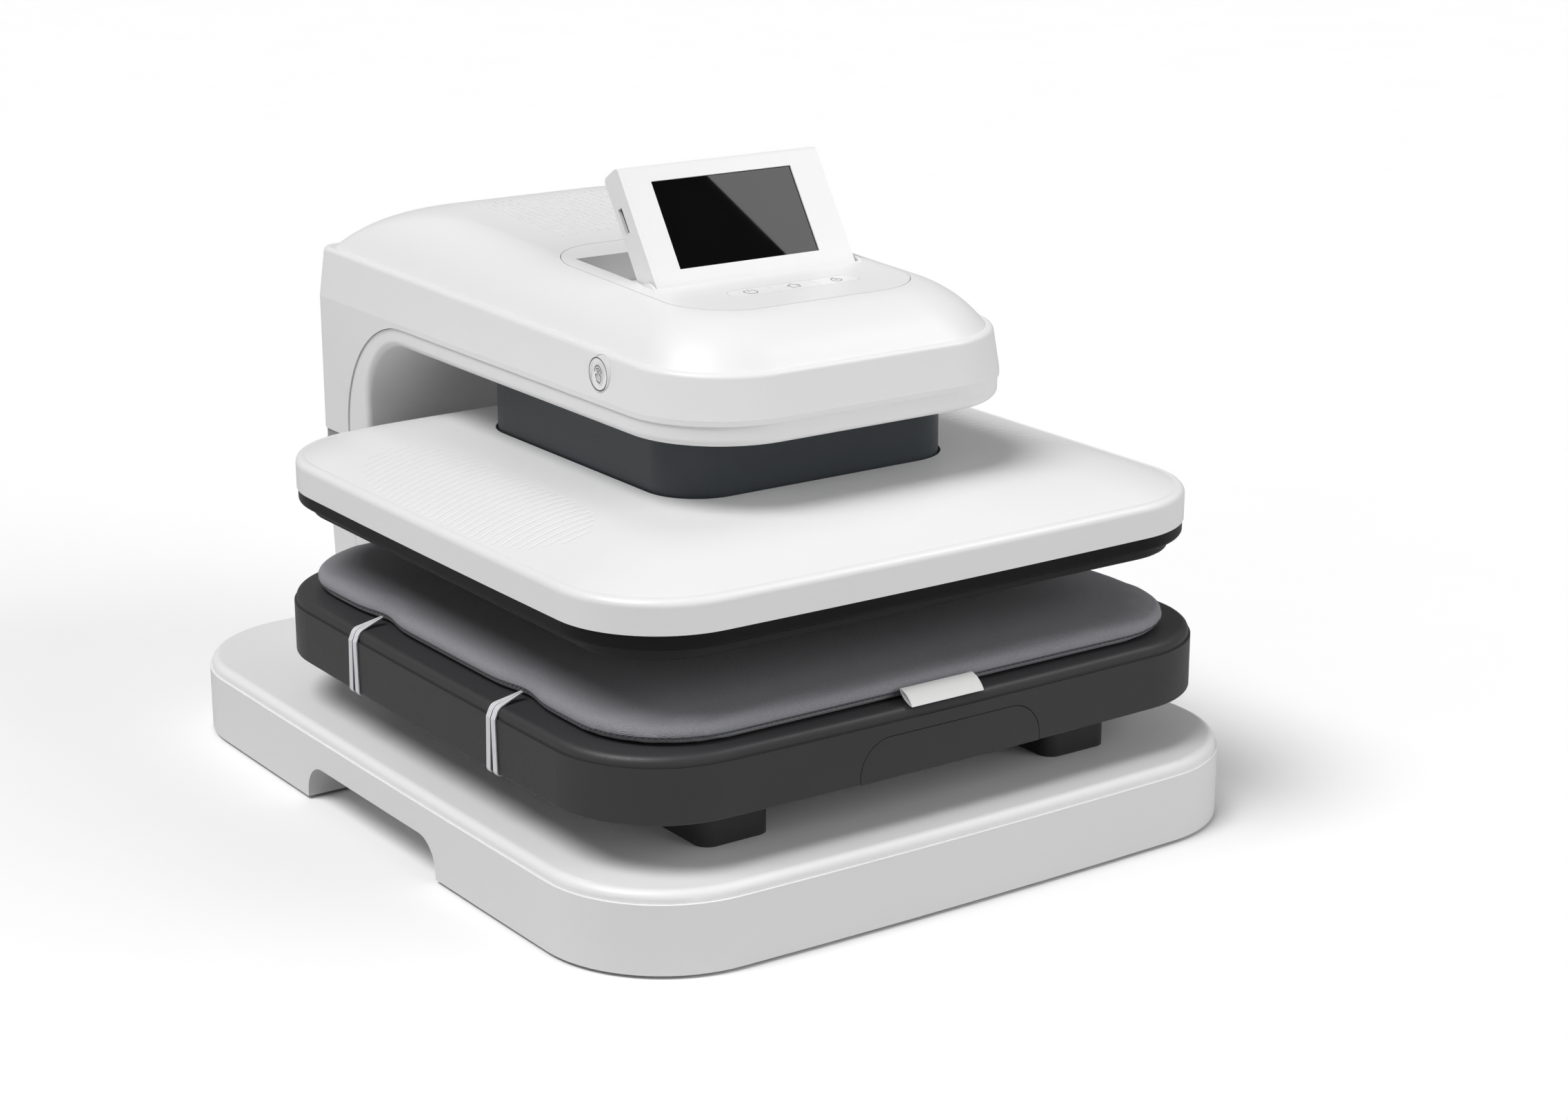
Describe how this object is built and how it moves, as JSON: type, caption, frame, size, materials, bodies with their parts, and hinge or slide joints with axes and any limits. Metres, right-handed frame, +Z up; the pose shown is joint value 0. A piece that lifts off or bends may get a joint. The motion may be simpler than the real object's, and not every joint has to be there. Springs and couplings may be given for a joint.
{
  "type": "automatic heat press",
  "caption": "Automatic heat press with a sliding padded bed, a motor-lowered heated platen under a column head, and a tilting touch screen",
  "frame": {"origin": "on the surface the press stands on, under the centre of the base", "axes": "+X to the right seen from the front, +Y from the front to the column at the back, +Z up; at rest the platen is raised, the bed is in and the screen is raised"},
  "size_m": [0.44, 0.535, 0.369],
  "materials": {
    "white_shell": "white, fine satin texture",
    "key_white": "white, smoother than the panel",
    "dark_shell": "charcoal, fine satin texture",
    "shroud_grey": "slate grey, satin",
    "rim_black": "black, satin",
    "trim_grey": "mid grey, satin",
    "pad_fabric": "grey twill over felt",
    "strap_elastic": "pale grey elastic tape",
    "foot_rubber": "matte",
    "plate_aluminium": "cast and coated",
    "frame_steel": "black powder coat",
    "bright_steel": "turned",
    "brass": "turned",
    "nylon": "natural nylon",
    "belt_rubber": "matte",
    "black_plastic": "fine texture",
    "board_green": "lacquered board",
    "insulation": "pressed fibre board",
    "screen_glass": "black cover glass"
  },
  "bodies": {
    "frame": {"base_shell": "white_shell", "base_plate": "frame_steel", "base_frame": "frame_steel", "rubber_feet": "foot_rubber", "rail_housings": "dark_shell", "glide_shoes": "nylon", "frame_sides": "frame_steel", "frame_spine": "frame_steel", "frame_bolts": "bright_steel", "guide_rods": "bright_steel", "screw_bearing": "bright_steel", "motor_bracket": "frame_steel", "gear_motor": "bright_steel", "drive_belt": "belt_rubber", "micro_switches": "black_plastic", "head_top_shell": "white_shell", "head_lining": "white_shell", "column_trim": "trim_grey", "column_front_cover": "white_shell", "column_rear_cover": "white_shell", "control_panel": "white_shell", "key_board": "board_green", "control_board": "board_green", "power_supply": "bright_steel", "power_inlet": "black_plastic", "fan_frame": "black_plastic", "case_screws": "bright_steel"},
    "bed": {"bed_shell": "dark_shell", "bed_support": "plate_aluminium", "bed_tracks": "frame_steel", "bed_handle": "dark_shell", "press_pad": "pad_fabric", "pad_straps": "strap_elastic", "pad_tag": "pad_fabric"},
    "platen": {"heat_plate": "plate_aluminium", "heating_element": "bright_steel", "platen_rim": "rim_black", "insulation_board": "insulation", "backing_plate": "plate_aluminium", "platen_cover": "white_shell", "lift_shroud": "shroud_grey", "thermal_sensors": "black_plastic", "platen_screws": "bright_steel", "carriage_plate": "frame_steel", "carriage_posts": "bright_steel", "carriage_bushes": "brass", "lift_nut": "brass"},
    "screw": {"lift_screw": "bright_steel", "screw_pulley": "plate_aluminium"},
    "motor_output": {"motor_pulley": "bright_steel"},
    "screen": {"screen_bezel": "white_shell", "screen_back": "white_shell", "screen_glass": "screen_glass", "display_module": "black_plastic"},
    "power_key_body": {"power_key": "key_white"},
    "home_key_body": {"home_key": "key_white"},
    "menu_key_body": {"menu_key": "key_white"},
    "start_button_body": {"start_button": "key_white"},
    "rocker_body": {"rocker_switch": "black_plastic"},
    "fan_body": {"fan_rotor": "black_plastic"}
  },
  "joints": [
    {"name": "bed_slide", "type": "slide", "parent": "frame", "child": "bed", "axis": [0, -1, 0], "range_m": [0, 0.2]},
    {"name": "platen_lift", "type": "slide", "parent": "frame", "child": "platen", "axis": [0, 0, -1], "range_m": [0, 0.033]},
    {"name": "screw_turn", "type": "hinge", "parent": "frame", "child": "screw", "pos_m": [0, -0.0235, 0.24], "axis": [0, 0, 1], "continuous": true},
    {"name": "motor_turn", "type": "hinge", "parent": "frame", "child": "motor_output", "pos_m": [0, -0.082, 0.268], "axis": [0, 0, 1], "continuous": true},
    {"name": "screen_fold", "type": "hinge", "parent": "frame", "child": "screen", "pos_m": [0, -0.06354, 0.30118], "axis": [-1, 0, 0], "range_deg": [0, 54.5]},
    {"name": "power_key_press", "type": "slide", "parent": "frame", "child": "power_key_body", "axis": [0, 0.0429, -0.9991], "range_m": [0, 0.0008], "stiffness_N_per_m": 1200, "springref_m": -0.0003},
    {"name": "home_key_press", "type": "slide", "parent": "frame", "child": "home_key_body", "axis": [0, 0.0429, -0.9991], "range_m": [0, 0.0008], "stiffness_N_per_m": 1200, "springref_m": -0.0003},
    {"name": "menu_key_press", "type": "slide", "parent": "frame", "child": "menu_key_body", "axis": [0, 0.0429, -0.9991], "range_m": [0, 0.0008], "stiffness_N_per_m": 1200, "springref_m": -0.0003},
    {"name": "start_button_press", "type": "slide", "parent": "frame", "child": "start_button_body", "axis": [1, 0, 0], "range_m": [0, 0.0015], "stiffness_N_per_m": 600, "springref_m": -0.0004},
    {"name": "rocker_tilt", "type": "hinge", "parent": "frame", "child": "rocker_body", "pos_m": [-0.056, 0.24273, 0.084], "axis": [1, 0, 0], "range_deg": [0, 14]},
    {"name": "fan_spin", "type": "hinge", "parent": "frame", "child": "fan_body", "pos_m": [0, 0.24, 0.214], "axis": [0, 1, 0], "continuous": true}
  ],
  "couplings": [
    {"joint": "screw_turn", "follows": "platen_lift", "rad_per_m": 1570.8},
    {"joint": "motor_turn", "follows": "platen_lift", "rad_per_m": 3839.7}
  ]
}
